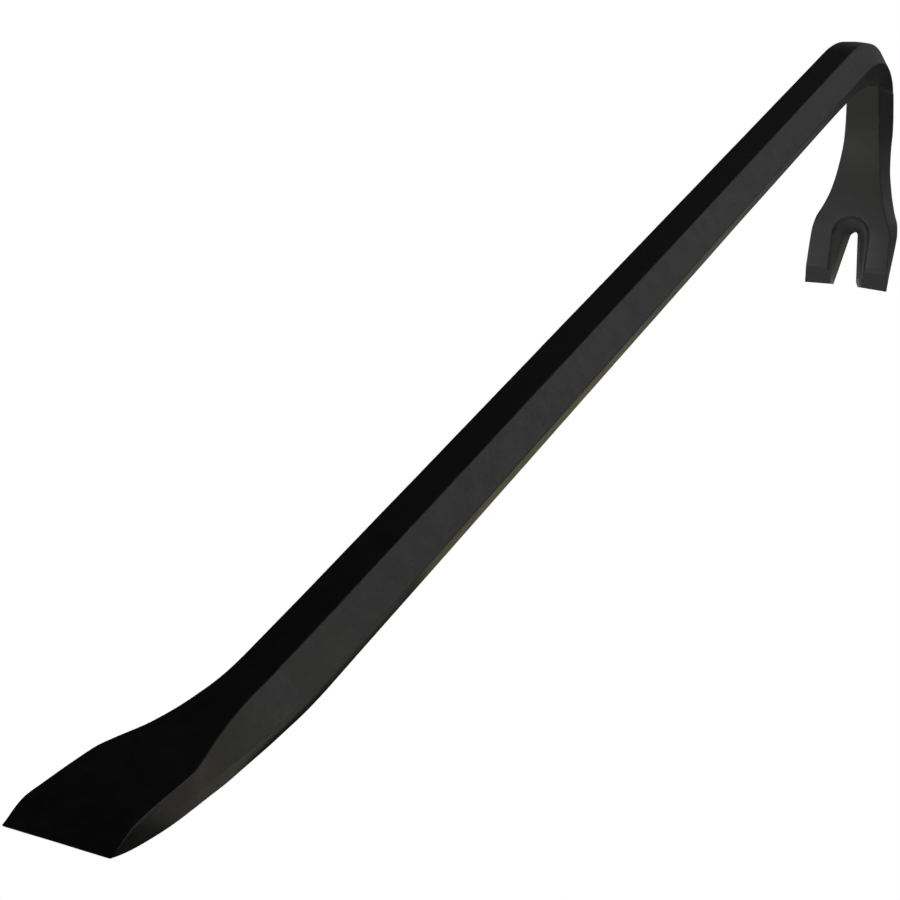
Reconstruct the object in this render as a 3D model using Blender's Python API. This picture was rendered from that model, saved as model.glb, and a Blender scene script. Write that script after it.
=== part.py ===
"""Gooseneck pry bar, forged in one piece from hexagonal steel bar.

The bar is drawn in its own directions, in millimetres: X runs along the straight
shank from the chisel edge to the gooseneck, Z is up through the top flat, and the
plane Y = 0 is the plane of symmetry. An empty then turns the bar into the pose in
which it lies on a level surface, on the blade's heel and the two claw tips.
"""

import math

import bmesh
import bpy
from mathutils import Matrix, Vector

MM = 0.001

# Hexagonal stock
ACROSS_FLATS = 19.3
FLAT_HALF = ACROSS_FLATS / 2
SIDE_HALF = ACROSS_FLATS / math.sqrt(3)
TOP_HALF = SIDE_HALF / 2
ARRIS = 0.5
ARRIS_STEPS = 2

# Chisel blade
BLADE_END = 104.0
BLADE_STEP = 4.0
CREST = 8.5
CREST_STEP = 1.7

# Gooseneck
ARM_OUTER_X = 591.5
ARM_SIDE_X = 584.4
ARM_INNER_X = 571.5
ARM_SIDE_HALF = 10.4
BEND_SIDE_HALF = 10.0
BEND_OUTER_HALF = 5.3
ARM_INNER_HALF = 7.1
BEND_OUTER = (534.0, 38.0)
BEND_SIDE = (537.0, 25.0)
BEND_INNER = (515.0, 8.2)
BEND_INNER_HALF = 5.8
INNER_LEVEL = -FLAT_HALF - 0.3
SWELL_START = 400.0
CROWN = 0.6
CROWN_SPREAD = 2.2
# Each corner's distance to where its rounding starts, the middle of the top flat second
SETBACKS = (ARRIS, CROWN_SPREAD, ARRIS, ARRIS, ARRIS, ARRIS, ARRIS)
BEND_STEPS = 20
SHANK_STEP = 40.0

# Claw
CLAW_TIP_X = 548.7
CLAW_TIP_Z = -104.2
CLAW_CREASE_Z = -95.9
CLAW_CREASE_X = 549.3
CLAW_LEAN = math.radians(24.0)
CLAW_STEP = 3.0
TIP_LAND = 0.5
TIP_RELIEF = 0.8
SIDE_RELIEF = 0.27

# Nail slot, measured up the claw's inner face from the crease of the tip bevel
SLOT_TIP_U = -8.5
SLOT_OVERRUN = 3.0
SLOT_FLARE = 0.35
ROUND_STEPS = 12
# Steps of the slot's recess, each: half width at the tips, radius and height of its
# round top, depth at the top, depth at the tips
RIM = (9.1, 9.1, 24.2, 0.0, 0.0)
RIM_TURN = (8.6, 8.6, 23.7, 0.3, 0.1)
RIM_FOOT = (7.8, 7.8, 22.9, 1.6, 0.45)
COVE_END = (7.3, 6.7, 22.0, 2.2, 0.6)
FLOOR_END = (7.0, 4.4, 19.5, 3.2, 0.8)
THROAT = (5.4, 1.6, 16.9, 6.8, 1.4)

# How far the cutters reach past what they cut
OVERLAP = 0.2
SLOT_BEFORE = 1.0
SLOT_BEHIND = 25.0
RECESS_BEFORE = 2.0
TIP_CUTTER_HALF = 25.0
TIP_CUTTER_DEEP = 6.0
TIP_CUTTER_SPAN = (CLAW_TIP_X - 6.0, CLAW_TIP_X + 12.0)


def smooth(keys):
    """A function of place that runs smoothly, without overshoot, through (place, value) keys."""
    xs = [key[0] for key in keys]
    ys = [key[1] for key in keys]
    slopes = [(ys[i + 1] - ys[i]) / (xs[i + 1] - xs[i]) for i in range(len(xs) - 1)]
    tangents = [slopes[0]]
    for before, after in zip(slopes, slopes[1:]):
        same_way = before * after > 0
        tangents.append(2 * before * after / (before + after) if same_way else 0.0)
    tangents.append(slopes[-1])

    def value(x):
        x = min(max(x, xs[0]), xs[-1])
        i = max(j for j in range(len(xs) - 1) if xs[j] <= x)
        span = xs[i + 1] - xs[i]
        t = (x - xs[i]) / span
        rise = (ys[i + 1] - ys[i]) * t * t * (3 - 2 * t)
        lead = tangents[i] * t * (1 - t) ** 2 - tangents[i + 1] * t * t * (1 - t)
        return ys[i] + rise + span * lead

    return value


def steps(start, end, step):
    """Evenly spaced places from start to end, both included, about step apart."""
    count = max(1, round(abs(end - start) / step))
    return [start + (end - start) * i / count for i in range(count + 1)]


def section(top, side, bottom, crown=0.0):
    """Corners of a section from three (x, z, half width) pairs, far top corner first. The
    second is the middle of the top flat, raised by the crown."""
    up = Vector((top[0] - bottom[0], 0, top[1] - bottom[1])).normalized() * crown
    corners = [
        (top[0], top[2], top[1]),
        (top[0] + up.x, 0, top[1] + up.z),
        (top[0], -top[2], top[1]),
        (side[0], -side[2], side[1]),
        (bottom[0], -bottom[2], bottom[1]),
        (bottom[0], bottom[2], bottom[1]),
        (side[0], side[2], side[1]),
    ]
    return [Vector(corner) for corner in corners]


def blade_sections():
    """Sections of the flared chisel blade, from its edge to the full hexagon."""
    top_z = smooth(
        [(0, 17.85), (6, 19.3), (CREST, 19.5), (13, 19.0), (32, 15.8), (48, 12.8), (62, 11.15), (76, 9.95),
         (BLADE_END, FLAT_HALF)]
    )
    top_half = smooth(
        [(0, 14.5), (6, 14.5), (14, 14.1), (31, 13.5), (36, 12.4), (47, 9.15), (58, 7.0), (68, 5.95),
         (80, TOP_HALF)]
    )
    side_half = smooth(
        [(0, 14.0), (14, 13.8), (31, 13.4), (38, 12.4), (52, 11.4), (70, SIDE_HALF), (80, SIDE_HALF)]
    )
    bottom_z = smooth(
        [(0, 17.62), (2, 16.35), (8, 13.6), (20, 9.5), (32, 6.1), (50, -0.2), (70, -5.9), (88, -8.95),
         (96, -9.45), (BLADE_END, -FLAT_HALF)]
    )
    bottom_half = smooth(
        [(0, 13.9), (22, 13.4), (31, 12.8), (40, 11.5), (56, 8.75), (66, 7.4), (82, 6.15), (92, 5.8),
         (BLADE_END, TOP_HALF)]
    )
    side_rise = smooth([(0, 0.5), (31, 0.4), (60, 0.42), (90, 0.5)])
    places = steps(0, CREST, CREST_STEP) + steps(CREST, BLADE_END, BLADE_STEP)[1:]
    sections = []
    for x in places:
        high = top_z(x)
        low = bottom_z(x)
        top = (x, high, top_half(x))
        side = (x, low + (high - low) * side_rise(x), side_half(x))
        bottom = (x, low, bottom_half(x))
        sections.append(section(top, side, bottom))
    return sections


def shank_sections():
    """The hexagon between the blade and the bend, without its two end sections. It thickens
    a little below towards the bend."""
    bottom_z = smooth([(SWELL_START, -FLAT_HALF), (BEND_INNER[0], INNER_LEVEL)])
    bottom_half = smooth([(SWELL_START, TOP_HALF), (BEND_INNER[0], BEND_INNER_HALF)])
    sections = []
    for x in steps(BLADE_END, BEND_INNER[0], SHANK_STEP)[1:-1]:
        top = (x, FLAT_HALF, TOP_HALF)
        side = (x, 0, SIDE_HALF)
        bottom = (x, bottom_z(x), bottom_half(x))
        sections.append(section(top, side, bottom))
    return sections


def quarter_ellipse(bend, level, end_x, turn):
    """Place on a bend that leaves the shank's line at level and ends straight down at end_x."""
    start, drop = bend
    x = start + (end_x - start) * math.sin(turn)
    return x, level - drop * (1 - math.cos(turn))


def bend_sections():
    """Sections through the gooseneck's bend, from the shank round to the arm."""
    outer_half = smooth([(0.0, TOP_HALF), (0.45, TOP_HALF), (0.8, 5.2), (1.0, BEND_OUTER_HALF)])
    side_half = smooth([(0.0, SIDE_HALF), (0.5, 10.3), (0.8, 9.9), (1.0, BEND_SIDE_HALF)])
    inner_half = smooth([(0.0, BEND_INNER_HALF), (0.5, 6.0), (1.0, ARM_INNER_HALF)])
    sections = []
    for i in range(BEND_STEPS + 1):
        part = i / BEND_STEPS
        turn = part * math.pi / 2
        outer = (*quarter_ellipse(BEND_OUTER, FLAT_HALF, ARM_OUTER_X, turn), outer_half(part))
        side = (*quarter_ellipse(BEND_SIDE, 0.0, ARM_SIDE_X, turn), side_half(part))
        inner = (*quarter_ellipse(BEND_INNER, INNER_LEVEL, ARM_INNER_X, turn), inner_half(part))
        sections.append(section(outer, side, inner, CROWN * math.sin(math.pi * part)))
    return sections


def claw_sections():
    """Sections down the arm and the flared wedge of the claw, to the tips."""
    inner_start = INNER_LEVEL - BEND_INNER[1]
    outer_start = FLAT_HALF - BEND_OUTER[1]
    inner_x = smooth(
        [(CLAW_CREASE_Z, CLAW_CREASE_X), (-78, 557.25), (-68, 561.7), (-61, 564.8), (-52, 568.3),
         (-43, 570.7), (-33, ARM_INNER_X), (inner_start, ARM_INNER_X)]
    )
    tip_x = smooth([(CLAW_TIP_Z, CLAW_TIP_X), (CLAW_CREASE_Z, CLAW_CREASE_X)])
    outer_x = smooth(
        [(CLAW_TIP_Z, CLAW_TIP_X + TIP_LAND), (-84, 570.0), (-73, 580.4), (-62, 587.0),
         (-38, ARM_OUTER_X), (outer_start, ARM_OUTER_X)]
    )
    outer_z = smooth(
        [(CLAW_TIP_Z, CLAW_TIP_Z), (-90, -94.5), (-78, -84.5), (-45, -48), (inner_start, outer_start)]
    )
    inner_half = smooth(
        [(CLAW_TIP_Z, 18.8), (-83, 17.9), (-78, 17.0), (-72.7, 14.7), (-66, 12.0), (-56, 9.7),
         (-42, 8.0), (inner_start, ARM_INNER_HALF)]
    )
    side_half = smooth(
        [(CLAW_TIP_Z, 18.9), (-84, 19.7), (-79, 18.9), (-74, 16.4), (-67.5, 13.9), (-58, 11.6),
         (-46, ARM_SIDE_HALF), (-36, ARM_SIDE_HALF), (inner_start, BEND_SIDE_HALF)]
    )
    outer_half = smooth(
        [(CLAW_TIP_Z, 18.7), (-90, 17.8), (-84, 16.3), (-78, 13.0), (-70, 9.8), (-60, 7.3), (-45, 5.8),
         (outer_start, BEND_OUTER_HALF)]
    )
    arm_share = (ARM_SIDE_X - ARM_INNER_X) / (ARM_OUTER_X - ARM_INNER_X)
    side_share = smooth([(CLAW_TIP_Z, 0.45), (-60, 0.45), (-40, arm_share), (inner_start, arm_share)])
    down_to_crease = steps(inner_start, CLAW_CREASE_Z, CLAW_STEP)[1:]
    down_to_tips = steps(CLAW_CREASE_Z, CLAW_TIP_Z, CLAW_STEP)[1:]
    sections = []
    for low in down_to_crease + down_to_tips:
        high = outer_z(low)
        inner_at = tip_x(low) if low < CLAW_CREASE_Z else inner_x(low)
        outer_at = outer_x(high)
        share = side_share(low)
        side_at = inner_at + (outer_at - inner_at) * share
        level = low + (high - low) * share
        outer = (outer_at, high, outer_half(high))
        side = (side_at, level, side_half(level))
        inner = (inner_at, low, inner_half(low))
        sections.append(section(outer, side, inner))
    return sections


def rounded(corners):
    """The section with each corner replaced by a short curve between its two sides."""
    points = []
    for i, (corner, setback) in enumerate(zip(corners, SETBACKS)):
        before = corners[i - 1] - corner
        after = corners[(i + 1) % len(corners)] - corner
        start = corner + before * min(0.4, setback / before.length)
        end = corner + after * min(0.4, setback / after.length)
        for j in range(ARRIS_STEPS + 1):
            t = j / ARRIS_STEPS
            points.append(start * (1 - t) ** 2 + corner * 2 * t * (1 - t) + end * t * t)
    return points


def lofted(rings):
    """A closed mesh through rings that have equally many points."""
    mesh = bmesh.new()
    loops = [[mesh.verts.new(point * MM) for point in ring] for ring in rings]
    size = len(loops[0])
    for near, far in zip(loops, loops[1:]):
        for i in range(size):
            j = (i + 1) % size
            mesh.faces.new((near[i], near[j], far[j], far[i]))
    mesh.faces.new(loops[0])
    mesh.faces.new(loops[-1])
    bmesh.ops.recalc_face_normals(mesh, faces=mesh.faces)
    return mesh


def new_object(name, mesh, collection):
    """An object made from a bmesh, in a collection."""
    data = bpy.data.meshes.new(name)
    mesh.to_mesh(data)
    mesh.free()
    thing = bpy.data.objects.new(name, data)
    collection.objects.link(thing)
    return thing


def on_claw(y, u, depth):
    """Place at y across, u up the claw's inner face and depth into it."""
    x = CLAW_CREASE_X + u * math.sin(CLAW_LEAN) + depth * math.cos(CLAW_LEAN)
    z = CLAW_CREASE_Z + u * math.cos(CLAW_LEAN) - depth * math.sin(CLAW_LEAN)
    return Vector((x, y, z))


def slot_loop(step, deeper=0.0):
    """Outline of one step of the slot, or of the flared slot deeper behind it: a V or U
    with a round top, open past the tips."""
    tip_half, radius, top_u, top_depth, tip_depth = step
    tip_half += SLOT_FLARE * deeper
    radius += SLOT_FLARE * deeper
    centre_u = top_u - radius
    length = centre_u - SLOT_TIP_U
    mouth_u = SLOT_TIP_U - SLOT_OVERRUN
    mouth_half = radius + (tip_half - radius) * (centre_u - mouth_u) / length
    lean = math.atan2(mouth_half - radius, centre_u - mouth_u)
    outline = [(mouth_half, mouth_u)]
    for i in range(ROUND_STEPS + 1):
        angle = lean + (math.pi - 2 * lean) * i / ROUND_STEPS
        outline.append((radius * math.cos(angle), centre_u + radius * math.sin(angle)))
    outline.append((-mouth_half, mouth_u))
    loop = []
    for y, u in outline:
        depth = tip_depth + (top_depth - tip_depth) * (u - SLOT_TIP_U) / (top_u - SLOT_TIP_U)
        loop.append(on_claw(y, u, depth + deeper))
    return loop


def slot_cutter(collection):
    """A V with a round top that cuts the nail slot right through the claw."""
    loops = [slot_loop(THROAT, -SLOT_BEFORE), slot_loop(THROAT, SLOT_BEHIND)]
    return new_object("slot_cutter", lofted(loops), collection)


def recess_cutter(collection):
    """The dished recess round the slot, which takes a nail's head."""
    rim = slot_loop(RIM)
    turn = slot_loop(RIM_TURN)
    above = [edge + (edge - low) * RECESS_BEFORE for edge, low in zip(rim, turn)]
    tip_half, radius, top_u, top_depth, tip_depth = THROAT
    inside = (tip_half - OVERLAP, radius - OVERLAP, top_u - OVERLAP, top_depth, tip_depth)
    steps_down = [slot_loop(step) for step in (RIM_FOOT, COVE_END, FLOOR_END)]
    loops = [above, rim, turn, *steps_down, slot_loop(inside)]
    return new_object("recess_cutter", lofted(loops), collection)


def tip_cutter(collection):
    """A flat wedge that leaves each tine a little shorter at the slot than at its outer side."""
    corners = [
        (TIP_CUTTER_HALF, -SIDE_RELIEF),
        (0.0, TIP_RELIEF),
        (-TIP_CUTTER_HALF, -SIDE_RELIEF),
        (-TIP_CUTTER_HALF, -TIP_CUTTER_DEEP),
        (TIP_CUTTER_HALF, -TIP_CUTTER_DEEP),
    ]
    loops = [[Vector((x, y, CLAW_TIP_Z + rise)) for y, rise in corners] for x in TIP_CUTTER_SPAN]
    return new_object("tip_cutter", lofted(loops), collection)


def cut(thing, cutter):
    """A live exact Boolean that removes the cutter from the object."""
    cutter.hide_render = True
    cutter.display_type = "WIRE"
    boolean = thing.modifiers.new(cutter.name, "BOOLEAN")
    boolean.operation = "DIFFERENCE"
    boolean.solver = "EXACT"
    boolean.object = cutter


def rest_angle(sections):
    """Tilt that brings the blade's heel down level with the claw tips."""
    tip = min(sections[-1], key=lambda corner: corner.z)
    heel = [corner for ring in sections for corner in ring if corner.x < BLADE_END]
    return min(math.atan2(corner.z - tip.z, tip.x - corner.x) for corner in heel)


def black_paint():
    """Matt black paint over the forged steel."""
    material = bpy.data.materials.new("black_paint")
    material.use_nodes = True
    shader = material.node_tree.nodes["Principled BSDF"]
    shader.inputs["Base Color"].default_value = (0.012, 0.012, 0.013, 1)
    shader.inputs["Roughness"].default_value = 0.5
    shader.inputs["Metallic"].default_value = 0.0
    return material


def forged_bar(parts, cutters):
    """The whole bar as one lofted body, with the nail slot cut in the claw."""
    sections = blade_sections() + shank_sections() + bend_sections() + claw_sections()
    rings = [rounded(corners) for corners in sections]
    bar = new_object("forged_bar", lofted(rings), parts)
    bar.data.shade_smooth()
    bar.data.set_sharp_from_angle(angle=math.radians(30))
    bar.data.materials.append(black_paint())
    tools = [slot_cutter(cutters), recess_cutter(cutters), tip_cutter(cutters)]
    for cutter in tools:
        cut(bar, cutter)
    return bar, tools, rest_angle(sections)


def lay_down(things, tilt):
    """Turn the bar to its resting pose, with the centre of its underside at the origin."""
    turned = Matrix.Rotation(-tilt, 4, "Y")
    bar = things[0]
    places = [turned @ vertex.co for vertex in bar.data.vertices]
    middle_x = (min(p.x for p in places) + max(p.x for p in places)) / 2
    pose = bpy.data.objects.new("resting_pose", None)
    bpy.context.scene.collection.objects.link(pose)
    pose.rotation_euler = (0, -tilt, 0)
    pose.location = (-middle_x, 0, -min(p.z for p in places))
    for thing in things:
        thing.parent = pose


def new_collection(name):
    """A collection in the scene."""
    collection = bpy.data.collections.new(name)
    bpy.context.scene.collection.children.link(collection)
    return collection


def main():
    """Build the bar and its cutters in an empty scene, then lay it down."""
    for thing in list(bpy.data.objects):
        bpy.data.objects.remove(thing, do_unlink=True)
    parts = new_collection("pry_bar")
    cutters = new_collection("cutters")
    cutters.hide_render = True
    bar, tools, tilt = forged_bar(parts, cutters)
    lay_down([bar] + tools, tilt)


main()
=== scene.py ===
"""Looks of the gooseneck pry bar: a finely rounded copy of the forging in matt black
paint, on a pale floor under soft studio light.

The bar's shape is drawn in its own directions, in millimetres, as a loft of six-sided
sections: X along the straight shank from the chisel edge, Z up through the top flat,
Y = 0 the plane of symmetry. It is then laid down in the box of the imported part.
"""

import math

import bmesh
import bpy
from mathutils import Matrix, Vector, noise

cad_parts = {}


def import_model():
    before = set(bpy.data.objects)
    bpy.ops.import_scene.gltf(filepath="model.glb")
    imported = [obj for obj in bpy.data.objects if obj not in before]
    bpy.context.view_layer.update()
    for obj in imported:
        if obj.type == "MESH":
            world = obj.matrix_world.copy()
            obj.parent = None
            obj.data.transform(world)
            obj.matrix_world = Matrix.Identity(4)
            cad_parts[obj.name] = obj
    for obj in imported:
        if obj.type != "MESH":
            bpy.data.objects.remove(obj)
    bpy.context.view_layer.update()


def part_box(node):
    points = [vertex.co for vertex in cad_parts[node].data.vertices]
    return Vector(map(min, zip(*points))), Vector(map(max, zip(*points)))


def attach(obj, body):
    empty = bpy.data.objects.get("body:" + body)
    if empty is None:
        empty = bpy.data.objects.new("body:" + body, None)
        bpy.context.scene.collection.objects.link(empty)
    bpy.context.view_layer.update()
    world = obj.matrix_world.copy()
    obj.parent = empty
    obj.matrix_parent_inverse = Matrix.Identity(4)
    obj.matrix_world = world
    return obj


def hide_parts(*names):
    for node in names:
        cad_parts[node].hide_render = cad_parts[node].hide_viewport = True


MM = 0.001

# Hexagonal stock
ACROSS_FLATS = 19.3
FLAT_HALF = ACROSS_FLATS / 2
SIDE_HALF = ACROSS_FLATS / math.sqrt(3)
TOP_HALF = SIDE_HALF / 2
ARRIS = 0.5
ARRIS_STEPS = 5
FLAT_STEPS = 4
# The largest share of a flat that the rounding of one of its corners takes
ROUNDING_MOST = 0.4

# Chisel blade
BLADE_END = 104.0
BLADE_STEP = 2.0
CREST = 8.5
CREST_STEP = 0.5

# Gooseneck
ARM_OUTER_X = 591.5
ARM_SIDE_X = 584.4
ARM_INNER_X = 571.5
ARM_SIDE_HALF = 10.4
BEND_SIDE_HALF = 10.0
BEND_OUTER_HALF = 5.3
ARM_INNER_HALF = 7.1
BEND_OUTER = (534.0, 38.0)
BEND_SIDE = (537.0, 25.0)
BEND_INNER = (515.0, 8.2)
BEND_INNER_HALF = 5.8
INNER_LEVEL = -FLAT_HALF - 0.3
SWELL_START = 400.0
CROWN = 0.6
CROWN_SPREAD = 2.2
# Each corner's distance to where its rounding starts, the middle of the top flat second
SETBACKS = (ARRIS, CROWN_SPREAD, ARRIS, ARRIS, ARRIS, ARRIS, ARRIS)
BEND_STEPS = 60
SHANK_STEP = 3.0

# Claw
CLAW_TIP_X = 548.7
CLAW_TIP_Z = -104.2
CLAW_CREASE_Z = -95.9
CLAW_CREASE_X = 549.3
CLAW_LEAN = math.radians(24.0)
CLAW_STEP = 0.8
TIP_LAND = 0.5
TIP_RELIEF = 0.8
SIDE_RELIEF = 0.27

# Nail slot, measured up the claw's inner face from the crease of the tip bevel
SLOT_TIP_U = -8.5
SLOT_OVERRUN = 3.0
SLOT_FLARE = 0.35
ROUND_STEPS = 40
# Steps of the slot's recess, each: half width at the tips, radius and height of its
# round top, depth at the top, depth at the tips
RIM = (9.1, 9.1, 24.2, 0.0, 0.0)
RIM_TURN = (8.6, 8.6, 23.7, 0.3, 0.1)
RIM_FOOT = (7.8, 7.8, 22.9, 1.6, 0.45)
COVE_END = (7.3, 6.7, 22.0, 2.2, 0.6)
FLOOR_END = (7.0, 4.4, 19.5, 3.2, 0.8)
THROAT = (5.4, 1.6, 16.9, 6.8, 1.4)

# How far the cutters reach past what they cut
OVERLAP = 0.2
SLOT_BEFORE = 1.0
SLOT_BEHIND = 25.0
RECESS_BEFORE = 2.0
TIP_CUTTER_HALF = 25.0
TIP_CUTTER_DEEP = 6.0
TIP_CUTTER_SPAN = (CLAW_TIP_X - 6.0, CLAW_TIP_X + 12.0)

# Unevenness of the forged surface: wavelength and depth in millimetres
WAVES = ((34.0, 0.09), (9.0, 0.035))
SHARP_ANGLE = math.radians(32)
EDGE_ANGLE = math.radians(7)
FLAT_WEIGHT = 80

# Paint: its colours where it is plain, dusty, patchy, lighter on the arrises from thin paint and
# a painted highlight, and light metal along the nail slot as a painted highlight; its roughness,
# and the sizes of its grain, mottling, patches and drawn-out streaks in metres
PAINT = (0.0105, 0.0105, 0.0108, 1)
DUSTY_PAINT = (0.0165, 0.0163, 0.0158, 1)
PATCHY_PAINT = (0.0135, 0.0132, 0.0120, 1)
THIN_PAINT_AND_HIGHLIGHT = (0.030, 0.030, 0.031, 1)
SLOT_HIGHLIGHT_PAINT = (0.17, 0.17, 0.158, 1)
PATCH_SHARE = 0.35
THIN_AND_HIGHLIGHT_SHARE = 0.6
ROUGH_RANGE = (0.44, 0.56)
ROUGH_MOTTLE = 0.04
ROUGH_THIN = 0.06
GRAIN_SIZE = 0.0007
MOTTLE_SIZE = 0.006
PATCH_SIZE = 0.035
DRAWN_SIZE = 0.0016
DRAWN_STRETCH = (0.05, 1, 1)

# Painted highlight along the nail slot's edge, drawn as light bare metal, in millimetres: how far it
# reaches from the slot's edge, up the claw and in front of its face, and over what length it fades
SHINE_FULL = 1.0
SHINE_END = 2.4
SHINE_TOP = 17.0
SHINE_FRONT = 1.0
SHINE_FADE = 5.0

# Studio, in metres
CAMERA_PLACE = (-0.57744, -0.23843, 0.22230)
CAMERA_FORWARD = (0.83757, 0.43468, -0.33095)
CAMERA_ROLL = 0.0047
CAMERA_LENS = 78.68
CAMERA_CLIP = (0.01, 50)
HALF_PIXEL = 0.5 / 900
FLOOR_HALF = 6.0
# Radiance of the floor and the sky as the bar sees them. The camera sees both as white.
FLOOR_GLOW = 0.02
SKY_GLOW = 0.003
WARM_WHITE = (1.0, 0.97, 0.80)
YELLOW_WHITE = (1.0, 0.99, 0.6)
WHITE = (1.0, 1.0, 1.0)
BAR_CENTRE = (0.0, 0.0, 0.04)
CLAW_FACE = (0.27, 0.0, 0.03)
FAR_SHANK = (0.15, 0.0, 0.08)
# Soft lights round the bar: name, place, the point that it faces, width, height, radiance
PANELS = (
    ("front_panel", (-2.57, 0.0, 0.40), BAR_CENTRE, 1.42, 1.42, 1.7),
    ("high_front_panel", (-2.25, 0.0, 1.34), BAR_CENTRE, 1.42, 1.42, 0.08),
    ("side_panel", (1.59, -1.59, 1.34), BAR_CENTRE, 1.42, 1.42, 1.0),
    ("low_side_panel", (1.82, -1.82, 0.40), BAR_CENTRE, 1.42, 1.42, 0.66),
    ("end_panel", (2.57, 0.0, 0.40), BAR_CENTRE, 1.42, 1.42, 0.36),
    ("far_top_panel", (0.44, 0.24, 0.46), FAR_SHANK, 0.36, 0.36, 0.042),
    ("claw_panel", (-0.10, -0.35, 0.10), CLAW_FACE, 0.21, 0.21, 2.1),
    ("low_claw_panel", (0.10, 0.15, 0.03), CLAW_FACE, 0.24, 0.05, 4.2),
)
# Glowing cards just above the floor: name, x from and to, y from and to, radiance, colour
CARD_LEVEL = 0.0005
CARDS = (
    ("card_right_of_claw", 0.20, 0.275, -0.06, 0.0, 0.5, WHITE),
    ("card_left_of_claw", 0.12, 0.275, 0.0, 0.05, 0.45, WHITE),
    ("card_left_of_shank", -0.12, 0.12, 0.0, 0.05, 0.72, YELLOW_WHITE),
    ("card_right_of_shank", -0.13, 0.20, -0.06, 0.0, 0.3, YELLOW_WHITE),
    ("card_left_behind_claw", 0.275, 0.50, 0.0, 0.30, 0.3, WARM_WHITE),
    ("card_right_behind_claw", 0.28, 0.40, -0.10, -0.02, 0.62, WHITE),
    ("card_right_of_blade", -0.268, -0.14, -0.25, -0.01, 0.30, WARM_WHITE),
    ("card_left_of_blade", -0.35, -0.14, 0.0, 0.30, 0.5, WARM_WHITE),
)


def smooth(keys):
    """A function of place that runs smoothly, without overshoot, through (place, value) keys."""
    xs = [key[0] for key in keys]
    ys = [key[1] for key in keys]
    slopes = [(ys[i + 1] - ys[i]) / (xs[i + 1] - xs[i]) for i in range(len(xs) - 1)]
    tangents = [slopes[0]]
    for before, after in zip(slopes, slopes[1:]):
        same_way = before * after > 0
        tangents.append(2 * before * after / (before + after) if same_way else 0.0)
    tangents.append(slopes[-1])

    def value(x):
        x = min(max(x, xs[0]), xs[-1])
        i = max(j for j in range(len(xs) - 1) if xs[j] <= x)
        span = xs[i + 1] - xs[i]
        t = (x - xs[i]) / span
        rise = (ys[i + 1] - ys[i]) * t * t * (3 - 2 * t)
        lead = tangents[i] * t * (1 - t) ** 2 - tangents[i + 1] * t * t * (1 - t)
        return ys[i] + rise + span * lead

    return value


def steps(start, end, step):
    """Evenly spaced places from start to end, both included, about step apart."""
    count = max(1, round(abs(end - start) / step))
    return [start + (end - start) * i / count for i in range(count + 1)]


def section(top, side, bottom, crown=0.0):
    """Corners of a section from three (x, z, half width) pairs, far top corner first. The
    second is the middle of the top flat, raised by the crown."""
    up = Vector((top[0] - bottom[0], 0, top[1] - bottom[1])).normalized() * crown
    corners = [
        (top[0], top[2], top[1]),
        (top[0] + up.x, 0, top[1] + up.z),
        (top[0], -top[2], top[1]),
        (side[0], -side[2], side[1]),
        (bottom[0], -bottom[2], bottom[1]),
        (bottom[0], bottom[2], bottom[1]),
        (side[0], side[2], side[1]),
    ]
    return [Vector(corner) for corner in corners]


def blade_sections():
    """Sections of the flared chisel blade, from its edge to the full hexagon."""
    top_z = smooth(
        [(0, 17.85), (6, 19.3), (CREST, 19.5), (13, 19.0), (32, 15.8), (48, 12.8),
         (62, 11.15), (76, 9.95), (BLADE_END, FLAT_HALF)]
    )
    top_half = smooth(
        [(0, 14.5), (6, 14.5), (14, 14.1), (31, 13.5), (36, 12.4), (47, 9.15),
         (58, 7.0), (68, 5.95), (80, TOP_HALF)]
    )
    side_half = smooth(
        [(0, 14.0), (14, 13.8), (31, 13.4), (38, 12.4), (52, 11.4),
         (70, SIDE_HALF), (80, SIDE_HALF)]
    )
    bottom_z = smooth(
        [(0, 17.62), (2, 16.35), (8, 13.6), (20, 9.5), (32, 6.1), (50, -0.2),
         (70, -5.9), (88, -8.95), (96, -9.45), (BLADE_END, -FLAT_HALF)]
    )
    bottom_half = smooth(
        [(0, 13.9), (22, 13.4), (31, 12.8), (40, 11.5), (56, 8.75), (66, 7.4),
         (82, 6.15), (92, 5.8), (BLADE_END, TOP_HALF)]
    )
    side_rise = smooth([(0, 0.5), (31, 0.4), (60, 0.42), (90, 0.5)])
    places = steps(0, CREST, CREST_STEP) + steps(CREST, BLADE_END, BLADE_STEP)[1:]
    sections = []
    for x in places:
        high = top_z(x)
        low = bottom_z(x)
        top = (x, high, top_half(x))
        side = (x, low + (high - low) * side_rise(x), side_half(x))
        bottom = (x, low, bottom_half(x))
        sections.append(section(top, side, bottom))
    return sections


def shank_sections():
    """The hexagon between the blade and the bend, without its two end sections. It thickens
    a little below towards the bend."""
    bottom_z = smooth([(SWELL_START, -FLAT_HALF), (BEND_INNER[0], INNER_LEVEL)])
    bottom_half = smooth([(SWELL_START, TOP_HALF), (BEND_INNER[0], BEND_INNER_HALF)])
    sections = []
    for x in steps(BLADE_END, BEND_INNER[0], SHANK_STEP)[1:-1]:
        top = (x, FLAT_HALF, TOP_HALF)
        side = (x, 0, SIDE_HALF)
        bottom = (x, bottom_z(x), bottom_half(x))
        sections.append(section(top, side, bottom))
    return sections


def quarter_ellipse(bend, level, end_x, turn):
    """Place on a bend that leaves the shank's line at level and ends straight down at end_x."""
    start, drop = bend
    x = start + (end_x - start) * math.sin(turn)
    return x, level - drop * (1 - math.cos(turn))


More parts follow.
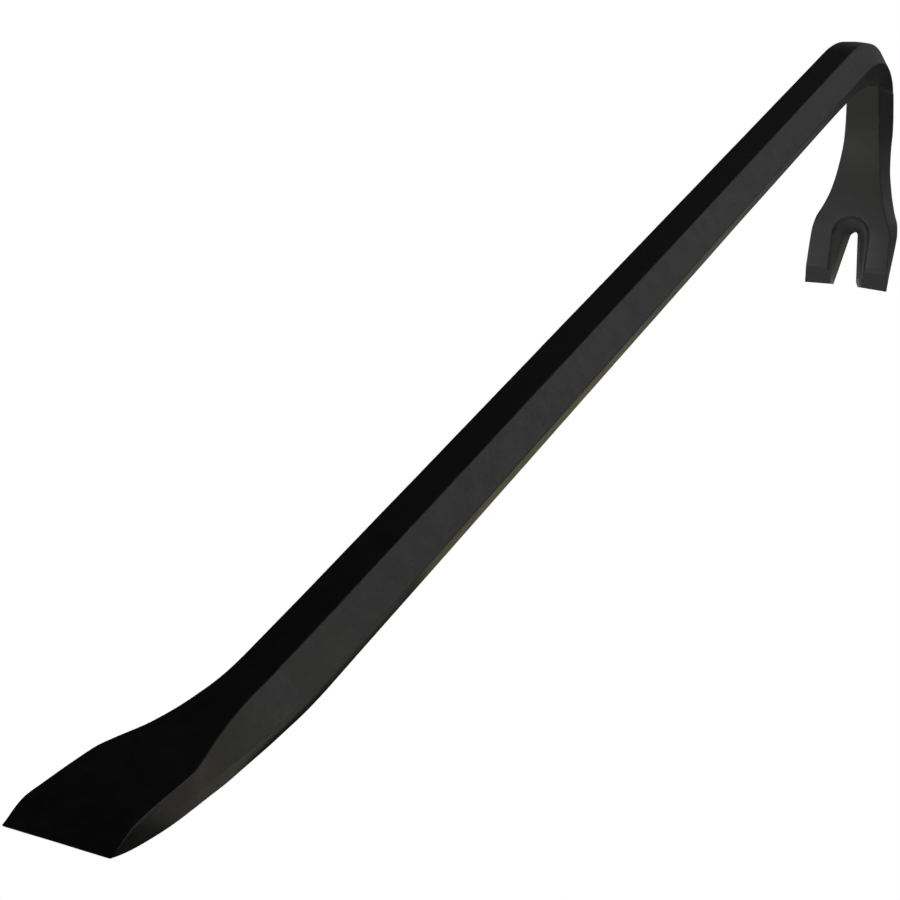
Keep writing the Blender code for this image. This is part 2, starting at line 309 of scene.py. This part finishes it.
def bend_sections():
    """Sections through the gooseneck's bend, from the shank round to the arm."""
    outer_half = smooth([(0.0, TOP_HALF), (0.45, TOP_HALF), (0.8, 5.2), (1.0, BEND_OUTER_HALF)])
    side_half = smooth([(0.0, SIDE_HALF), (0.5, 10.3), (0.8, 9.9), (1.0, BEND_SIDE_HALF)])
    inner_half = smooth([(0.0, BEND_INNER_HALF), (0.5, 6.0), (1.0, ARM_INNER_HALF)])
    sections = []
    for i in range(BEND_STEPS + 1):
        part = i / BEND_STEPS
        turn = part * math.pi / 2
        outer = (*quarter_ellipse(BEND_OUTER, FLAT_HALF, ARM_OUTER_X, turn), outer_half(part))
        side = (*quarter_ellipse(BEND_SIDE, 0.0, ARM_SIDE_X, turn), side_half(part))
        inner = (*quarter_ellipse(BEND_INNER, INNER_LEVEL, ARM_INNER_X, turn), inner_half(part))
        sections.append(section(outer, side, inner, CROWN * math.sin(math.pi * part)))
    return sections


def claw_sections():
    """Sections down the arm and the flared wedge of the claw, to the tips."""
    inner_start = INNER_LEVEL - BEND_INNER[1]
    outer_start = FLAT_HALF - BEND_OUTER[1]
    inner_x = smooth(
        [(CLAW_CREASE_Z, CLAW_CREASE_X), (-78, 557.25), (-68, 561.7), (-61, 564.8), (-52, 568.3),
         (-43, 570.7), (-33, ARM_INNER_X), (inner_start, ARM_INNER_X)]
    )
    tip_x = smooth([(CLAW_TIP_Z, CLAW_TIP_X), (CLAW_CREASE_Z, CLAW_CREASE_X)])
    outer_x = smooth(
        [(CLAW_TIP_Z, CLAW_TIP_X + TIP_LAND), (-84, 570.0), (-73, 580.4), (-62, 587.0),
         (-38, ARM_OUTER_X), (outer_start, ARM_OUTER_X)]
    )
    outer_z = smooth(
        [(CLAW_TIP_Z, CLAW_TIP_Z), (-90, -94.5), (-78, -84.5), (-45, -48),
         (inner_start, outer_start)]
    )
    inner_half = smooth(
        [(CLAW_TIP_Z, 18.8), (-83, 17.9), (-78, 17.0), (-72.7, 14.7), (-66, 12.0), (-56, 9.7),
         (-42, 8.0), (inner_start, ARM_INNER_HALF)]
    )
    side_half = smooth(
        [(CLAW_TIP_Z, 18.9), (-84, 19.7), (-79, 18.9), (-74, 16.4), (-67.5, 13.9), (-58, 11.6),
         (-46, ARM_SIDE_HALF), (-36, ARM_SIDE_HALF), (inner_start, BEND_SIDE_HALF)]
    )
    outer_half = smooth(
        [(CLAW_TIP_Z, 18.7), (-90, 17.8), (-84, 16.3), (-78, 13.0), (-70, 9.8), (-60, 7.3),
         (-45, 5.8), (outer_start, BEND_OUTER_HALF)]
    )
    arm_share = (ARM_SIDE_X - ARM_INNER_X) / (ARM_OUTER_X - ARM_INNER_X)
    side_share = smooth(
        [(CLAW_TIP_Z, 0.45), (-60, 0.45), (-40, arm_share), (inner_start, arm_share)]
    )
    down_to_crease = steps(inner_start, CLAW_CREASE_Z, CLAW_STEP)[1:]
    down_to_tips = steps(CLAW_CREASE_Z, CLAW_TIP_Z, CLAW_STEP)[1:]
    sections = []
    for low in down_to_crease + down_to_tips:
        high = outer_z(low)
        inner_at = tip_x(low) if low < CLAW_CREASE_Z else inner_x(low)
        outer_at = outer_x(high)
        share = side_share(low)
        side_at = inner_at + (outer_at - inner_at) * share
        level = low + (high - low) * share
        outer = (outer_at, high, outer_half(high))
        side = (side_at, level, side_half(level))
        inner = (inner_at, low, inner_half(low))
        sections.append(section(outer, side, inner))
    return sections


def rest_angle(sections):
    """Tilt that brings the blade's heel down level with the claw tips."""
    tip = min(sections[-1], key=lambda corner: corner.z)
    heel = [corner for ring in sections for corner in ring if corner.x < BLADE_END]
    return min(math.atan2(corner.z - tip.z, tip.x - corner.x) for corner in heel)


def rounded(corners):
    """The section with rounded corners, and a few points along each flat between them."""
    curves = []
    for i, (corner, setback) in enumerate(zip(corners, SETBACKS)):
        before = corners[i - 1] - corner
        after = corners[(i + 1) % len(corners)] - corner
        start = corner + before * min(ROUNDING_MOST, setback / before.length)
        end = corner + after * min(ROUNDING_MOST, setback / after.length)
        curve = []
        for j in range(ARRIS_STEPS + 1):
            t = j / ARRIS_STEPS
            curve.append(start * (1 - t) ** 2 + corner * 2 * t * (1 - t) + end * t * t)
        curves.append(curve)
    points = []
    for i, curve in enumerate(curves):
        following = curves[(i + 1) % len(curves)][0]
        points += curve
        points += [curve[-1].lerp(following, j / FLAT_STEPS) for j in range(1, FLAT_STEPS)]
    return points


def forged(ring):
    """The ring with each point sunk a little towards the middle, as an uneven forging."""
    middle = sum(ring, Vector()) / len(ring)
    points = []
    for point in ring:
        sink = 0.0
        for length, depth in WAVES:
            sink += depth * (0.5 + 0.5 * noise.noise(point / length))
        points.append(point + (middle - point).normalized() * sink)
    return points


def lofted(rings):
    """A closed mesh through rings that have equally many points."""
    mesh = bmesh.new()
    loops = [[mesh.verts.new(point * MM) for point in ring] for ring in rings]
    size = len(loops[0])
    for near, far in zip(loops, loops[1:]):
        for i in range(size):
            j = (i + 1) % size
            mesh.faces.new((near[i], near[j], far[j], far[i]))
    mesh.faces.new(loops[0])
    mesh.faces.new(loops[-1])
    bmesh.ops.recalc_face_normals(mesh, faces=mesh.faces)
    return mesh


def new_object(name, mesh):
    """An object made from a bmesh, in the scene."""
    data = bpy.data.meshes.new(name)
    mesh.to_mesh(data)
    mesh.free()
    thing = bpy.data.objects.new(name, data)
    bpy.context.scene.collection.objects.link(thing)
    return thing


def on_claw(y, u, depth):
    """Place at y across, u up the claw's inner face and depth into it."""
    x = CLAW_CREASE_X + u * math.sin(CLAW_LEAN) + depth * math.cos(CLAW_LEAN)
    z = CLAW_CREASE_Z + u * math.cos(CLAW_LEAN) - depth * math.sin(CLAW_LEAN)
    return Vector((x, y, z))


def slot_loop(step, deeper=0.0):
    """Outline of one step of the slot, or of the flared slot deeper behind it: a V or U
    with a round top, open past the tips."""
    tip_half, radius, top_u, top_depth, tip_depth = step
    tip_half += SLOT_FLARE * deeper
    radius += SLOT_FLARE * deeper
    centre_u = top_u - radius
    length = centre_u - SLOT_TIP_U
    mouth_u = SLOT_TIP_U - SLOT_OVERRUN
    mouth_half = radius + (tip_half - radius) * (centre_u - mouth_u) / length
    lean = math.atan2(mouth_half - radius, centre_u - mouth_u)
    outline = [(mouth_half, mouth_u)]
    for i in range(ROUND_STEPS + 1):
        angle = lean + (math.pi - 2 * lean) * i / ROUND_STEPS
        outline.append((radius * math.cos(angle), centre_u + radius * math.sin(angle)))
    outline.append((-mouth_half, mouth_u))
    loop = []
    for y, u in outline:
        depth = tip_depth + (top_depth - tip_depth) * (u - SLOT_TIP_U) / (top_u - SLOT_TIP_U)
        loop.append(on_claw(y, u, depth + deeper))
    return loop


def slot_cutter():
    """A V with a round top that cuts the nail slot right through the claw."""
    loops = [slot_loop(THROAT, -SLOT_BEFORE), slot_loop(THROAT, SLOT_BEHIND)]
    return new_object("slot_cutter", lofted(loops))


def recess_cutter():
    """The dished recess round the slot, which takes a nail's head."""
    rim = slot_loop(RIM)
    turn = slot_loop(RIM_TURN)
    above = [edge + (edge - low) * RECESS_BEFORE for edge, low in zip(rim, turn)]
    tip_half, radius, top_u, top_depth, tip_depth = THROAT
    inside = (tip_half - OVERLAP, radius - OVERLAP, top_u - OVERLAP, top_depth, tip_depth)
    steps_down = [slot_loop(step) for step in (RIM_FOOT, COVE_END, FLOOR_END)]
    loops = [above, rim, turn, *steps_down, slot_loop(inside)]
    return new_object("recess_cutter", lofted(loops))


def tip_cutter():
    """A flat wedge that leaves each tine a little shorter at the slot than at its outer side."""
    corners = [
        (TIP_CUTTER_HALF, -SIDE_RELIEF),
        (0.0, TIP_RELIEF),
        (-TIP_CUTTER_HALF, -SIDE_RELIEF),
        (-TIP_CUTTER_HALF, -TIP_CUTTER_DEEP),
        (TIP_CUTTER_HALF, -TIP_CUTTER_DEEP),
    ]
    loops = [[Vector((x, y, CLAW_TIP_Z + rise)) for y, rise in corners] for x in TIP_CUTTER_SPAN]
    return new_object("tip_cutter", lofted(loops))


def cut(thing, cutters):
    """Remove the cutters from the object for good, and the cutters from the scene."""
    for cutter in cutters:
        boolean = thing.modifiers.new(cutter.name, "BOOLEAN")
        boolean.operation = "DIFFERENCE"
        boolean.solver = "EXACT"
        boolean.object = cutter
    graph = bpy.context.evaluated_depsgraph_get()
    made = bpy.data.meshes.new_from_object(thing.evaluated_get(graph))
    thing.modifiers.clear()
    thing.data = made
    for cutter in cutters:
        bpy.data.objects.remove(cutter, do_unlink=True)


def lay_down(thing, tilt, box):
    """Turn the bar to its resting pose, centred in the box along X and standing on its floor."""
    thing.data.transform(Matrix.Rotation(-tilt, 4, "Y"))
    low, high = box
    xs = [vertex.co.x for vertex in thing.data.vertices]
    floor = min(vertex.co.z for vertex in thing.data.vertices)
    shift = (low[0] + high[0] - min(xs) - max(xs)) / 2
    thing.data.transform(Matrix.Translation((shift, 0, low[2] - floor)))


def mark_edges(data):
    """A vertex attribute, edge, that is 1 where the surface turns: along every arris and rim."""
    mesh = bmesh.new()
    mesh.from_mesh(data)
    layer = mesh.verts.layers.float.new("edge")
    for edge in mesh.edges:
        if len(edge.link_faces) == 2 and edge.calc_face_angle(0.0) > EDGE_ANGLE:
            for vertex in edge.verts:
                vertex[layer] = 1.0
    mesh.to_mesh(data)
    mesh.free()


def mark_claw(data):
    """A vertex attribute, claw: each point's place across, up and into the claw's face, in mm."""
    crease = Vector((CLAW_CREASE_X, 0, CLAW_CREASE_Z))
    up = Vector((math.sin(CLAW_LEAN), 0, math.cos(CLAW_LEAN)))
    into = Vector((math.cos(CLAW_LEAN), 0, -math.sin(CLAW_LEAN)))
    places = data.attributes.new("claw", "FLOAT_VECTOR", "POINT")
    for vertex, place in zip(data.vertices, places.data):
        from_crease = vertex.co / MM - crease
        place.vector = (from_crease.y, from_crease.dot(up), from_crease.dot(into))


def soft_shading(thing):
    """Round the arrises in the shading, and keep the flats flat."""
    thing.data.shade_smooth()
    thing.data.set_sharp_from_angle(angle=SHARP_ANGLE)
    weighted = thing.modifiers.new("flat_normals", "WEIGHTED_NORMAL")
    weighted.keep_sharp = True
    weighted.weight = FLAT_WEIGHT


class Graph:
    """A short way to add nodes to a material."""

    # The colour sockets of a Mix node, which share their names with its number sockets
    FIRST_COLOUR = 6
    SECOND_COLOUR = 7
    MIXED_COLOUR = 2

    def __init__(self, name):
        self.material = bpy.data.materials.new(name)
        self.material.use_nodes = True
        self.tree = self.material.node_tree
        self.shader = self.tree.nodes["Principled BSDF"]

    def add(self, kind, **inputs):
        """A node with these inputs, each a value or another node's output."""
        node = self.tree.nodes.new(kind)
        for name, value in inputs.items():
            self.feed(node.inputs[name.replace("_", " ")], value)
        return node

    def feed(self, socket, value):
        """Set a socket from a value, or link it from an output."""
        if isinstance(value, bpy.types.NodeSocket):
            self.tree.links.new(value, socket)
        else:
            socket.default_value = value

    def place(self, stretch=(1, 1, 1)):
        """Object coordinates in metres, scaled by stretch."""
        coordinates = self.add("ShaderNodeTexCoord").outputs["Object"]
        return self.add("ShaderNodeMapping", Vector=coordinates, Scale=stretch).outputs["Vector"]

    def noise(self, size, detail=2.0, rough=0.5, stretch=(1, 1, 1)):
        """Noise with spots of about this size in metres."""
        place = self.place(stretch)
        inputs = {"Vector": place, "Scale": 1 / size, "Detail": detail, "Roughness": rough}
        return self.add("ShaderNodeTexNoise", **inputs).outputs["Fac"]

    def ramp(self, value, low, high, to_low=0.0, to_high=1.0):
        """The value moved from the range low..high to the range to_low..to_high, and held there."""
        node = self.tree.nodes.new("ShaderNodeMapRange")
        for index, number in enumerate((value, low, high, to_low, to_high)):
            self.feed(node.inputs[index], number)
        return node.outputs["Result"]

    def calc(self, operation, first, second=0.0):
        """One operation on a number, or on two."""
        node = self.tree.nodes.new("ShaderNodeMath")
        node.operation = operation
        self.feed(node.inputs[0], first)
        self.feed(node.inputs[1], second)
        return node.outputs["Value"]

    def mix(self, share, first, second):
        """Mix of two colours."""
        node = self.tree.nodes.new("ShaderNodeMix")
        node.data_type = "RGBA"
        self.feed(node.inputs["Factor"], share)
        self.feed(node.inputs[self.FIRST_COLOUR], first)
        self.feed(node.inputs[self.SECOND_COLOUR], second)
        return node.outputs[self.MIXED_COLOUR]

    def bump(self, height, distance, strength, below=None):
        """A bump of this height in metres, on top of the one below."""
        node = self.add("ShaderNodeBump", Height=height, Distance=distance, Strength=strength)
        if below is not None:
            self.feed(node.inputs["Normal"], below)
        return node.outputs["Normal"]


def painted_slot_highlight(g):
    """Share of painted highlight along the nail slot: full at its edge, none past the lip round it.
    """
    claw = g.add("ShaderNodeAttribute")
    claw.attribute_name = "claw"
    place = g.add("ShaderNodeSeparateXYZ", Vector=claw.outputs["Vector"]).outputs
    tip_half, radius, top_u, top_depth, tip_depth = THROAT
    taper = (tip_half - radius) / (top_u - radius - SLOT_TIP_U)
    across = g.calc("ABSOLUTE", place["X"])
    outward = g.calc("ADD", across, g.calc("MULTIPLY", place["Y"], taper))
    past_edge = g.calc("SUBTRACT", outward, tip_half + taper * SLOT_TIP_U)
    beside = g.ramp(past_edge, SHINE_FULL, SHINE_END, 1.0, 0.0)
    below = g.ramp(place["Y"], SHINE_TOP - SHINE_FADE, SHINE_TOP, 1.0, 0.0)
    before = g.ramp(place["Z"], top_depth, top_depth + SHINE_FADE, 1.0, 0.0)
    on_face = g.ramp(place["Z"], -SHINE_FRONT, 0.0)
    return g.calc("MULTIPLY", g.calc("MULTIPLY", beside, below), g.calc("MULTIPLY", before, on_face))


def black_paint():
    """Matt black paint over forged steel: fine grain, faint mottling, lighter on the arrises from
    thin paint and a painted highlight, and a painted highlight along the nail slot.
    """
    g = Graph("black_paint")
    grain = g.noise(GRAIN_SIZE, 3.0, 0.6)
    mottle = g.noise(MOTTLE_SIZE, 4.0, 0.55)
    patches = g.noise(PATCH_SIZE, 2.0)
    drawn = g.noise(DRAWN_SIZE, 3.0, 0.6, DRAWN_STRETCH)
    edge = g.add("ShaderNodeAttribute")
    edge.attribute_name = "edge"
    # Mask of the lighter arrises: thin paint there, and a painted highlight along them
    thin_paint_and_highlight = g.calc("MULTIPLY", edge.outputs["Fac"], g.ramp(mottle, 0.35, 0.65))
    dusty = g.ramp(g.calc("ADD", mottle, g.calc("MULTIPLY", grain, 0.5)), 0.55, 0.95)

    paint = g.mix(dusty, PAINT, DUSTY_PAINT)
    paint = g.mix(g.ramp(patches, 0.35, 0.7, 0.0, PATCH_SHARE), paint, PATCHY_PAINT)
    # Arrises lightened: partly thin paint, partly a painted highlight
    paint = g.mix(g.calc("MULTIPLY", thin_paint_and_highlight, THIN_AND_HIGHLIGHT_SHARE), paint, THIN_PAINT_AND_HIGHLIGHT)
    # Light bare metal along the slot's edge: a painted highlight
    slot_highlight = painted_slot_highlight(g)
    paint = g.mix(slot_highlight, paint, SLOT_HIGHLIGHT_PAINT)
    g.feed(g.shader.inputs["Base Color"], paint)

    rough = g.ramp(grain, 0.3, 0.7, *ROUGH_RANGE)
    rough = g.calc("ADD", rough, g.ramp(mottle, 0.3, 0.7, -ROUGH_MOTTLE, ROUGH_MOTTLE))
    rough = g.calc("SUBTRACT", rough, g.calc("MULTIPLY", thin_paint_and_highlight, ROUGH_THIN))
    g.feed(g.shader.inputs["Roughness"], rough)
    g.feed(g.shader.inputs["Metallic"], slot_highlight)

    normal = g.bump(mottle, 0.00008, 0.5)
    normal = g.bump(drawn, 0.00002, 0.4, normal)
    normal = g.bump(grain, 0.00003, 0.5, normal)
    g.feed(g.shader.inputs["Normal"], normal)
    return g.material


def painted_bar(box):
    """The whole bar as one finely lofted body, with the nail slot cut in the claw."""
    sections = blade_sections() + shank_sections() + bend_sections() + claw_sections()
    rings = [forged(rounded(corners)) for corners in sections]
    bar = new_object("painted_bar", lofted(rings))
    cut(bar, [slot_cutter(), recess_cutter(), tip_cutter()])
    mark_claw(bar.data)
    lay_down(bar, rest_angle(sections), box)
    mark_edges(bar.data)
    soft_shading(bar)
    bar.data.materials.clear()
    bar.data.materials.append(black_paint())
    return bar


def floor_material():
    """Pale floor: white to the camera, and a soft warm glow on the underside of the bar."""
    g = Graph("pale_floor")
    tree = g.tree
    ray = g.add("ShaderNodeLightPath").outputs["Is Camera Ray"]
    seen = g.add("ShaderNodeEmission", Color=(1, 1, 1, 1), Strength=1.0)
    glow = g.add("ShaderNodeEmission", Color=(*WARM_WHITE, 1), Strength=FLOOR_GLOW)
    both = g.add("ShaderNodeMixShader", Fac=ray)
    tree.links.new(glow.outputs[0], both.inputs[1])
    tree.links.new(seen.outputs[0], both.inputs[2])
    tree.links.new(both.outputs[0], tree.nodes["Material Output"].inputs["Surface"])
    tree.nodes.remove(g.shader)
    return g.material


def pale_floor():
    """A plain level floor under the bar."""
    mesh = bmesh.new()
    corners = [(-1, -1), (1, -1), (1, 1), (-1, 1)]
    mesh.faces.new([mesh.verts.new((x * FLOOR_HALF, y * FLOOR_HALF, 0)) for x, y in corners])
    floor = new_object("pale_floor", mesh)
    floor.data.materials.append(floor_material())


def soft_panel(name, place, aim, width, height, radiance, colour=WHITE):
    """A rectangular soft light at a place, turned to its aim, that the camera doesn't see."""
    data = bpy.data.lights.new(name, "AREA")
    data.shape = "RECTANGLE"
    data.size = width
    data.size_y = height
    data.energy = math.pi * width * height * radiance
    data.color = colour
    light = bpy.data.objects.new(name, data)
    light.location = place
    light.rotation_euler = (Vector(aim) - Vector(place)).to_track_quat("-Z", "Y").to_euler()
    light.visible_camera = False
    bpy.context.scene.collection.objects.link(light)


def floor_card(name, x_from, x_to, y_from, y_to, radiance, colour):
    """A soft light that lies on the floor and faces up."""
    middle = Vector(((x_from + x_to) / 2, (y_from + y_to) / 2, CARD_LEVEL))
    above = middle + Vector((0, 0, 1))
    soft_panel(name, middle, above, x_to - x_from, y_to - y_from, radiance, colour)


def studio():
    """World and lights: a sky that is white to the camera and nearly dark to the bar, soft
    panels round the bar, and glowing cards under it."""
    world = bpy.data.worlds.new("studio")
    bpy.context.scene.world = world
    world.use_nodes = True
    tree = world.node_tree
    ray = tree.nodes.new("ShaderNodeLightPath")
    dim = tree.nodes["Background"]
    dim.inputs["Color"].default_value = (1, 1, 1, 1)
    dim.inputs["Strength"].default_value = SKY_GLOW
    seen = tree.nodes.new("ShaderNodeBackground")
    seen.inputs["Color"].default_value = (1, 1, 1, 1)
    both = tree.nodes.new("ShaderNodeMixShader")
    tree.links.new(ray.outputs["Is Camera Ray"], both.inputs["Fac"])
    tree.links.new(dim.outputs[0], both.inputs[1])
    tree.links.new(seen.outputs[0], both.inputs[2])
    tree.links.new(both.outputs[0], tree.nodes["World Output"].inputs["Surface"])
    for panel in PANELS:
        soft_panel(*panel)
    for card in CARDS:
        floor_card(*card)


def camera():
    """Camera at the end of the chisel blade, above it and to its right."""
    data = bpy.data.cameras.new("camera")
    data.lens = CAMERA_LENS
    data.shift_x = -HALF_PIXEL
    data.shift_y = HALF_PIXEL
    data.clip_start, data.clip_end = CAMERA_CLIP
    thing = bpy.data.objects.new("camera", data)
    thing.location = CAMERA_PLACE
    turned = Vector(CAMERA_FORWARD).to_track_quat("-Z", "Y").to_matrix()
    thing.rotation_euler = (turned @ Matrix.Rotation(CAMERA_ROLL, 3, "Z")).to_euler()
    bpy.context.scene.collection.objects.link(thing)
    bpy.context.scene.camera = thing


def main():
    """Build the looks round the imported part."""
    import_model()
    bar = painted_bar(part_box("forged_bar"))
    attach(bar, "root")
    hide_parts("forged_bar")
    pale_floor()
    studio()
    camera()
    bpy.context.scene.view_settings.view_transform = "Standard"


main()
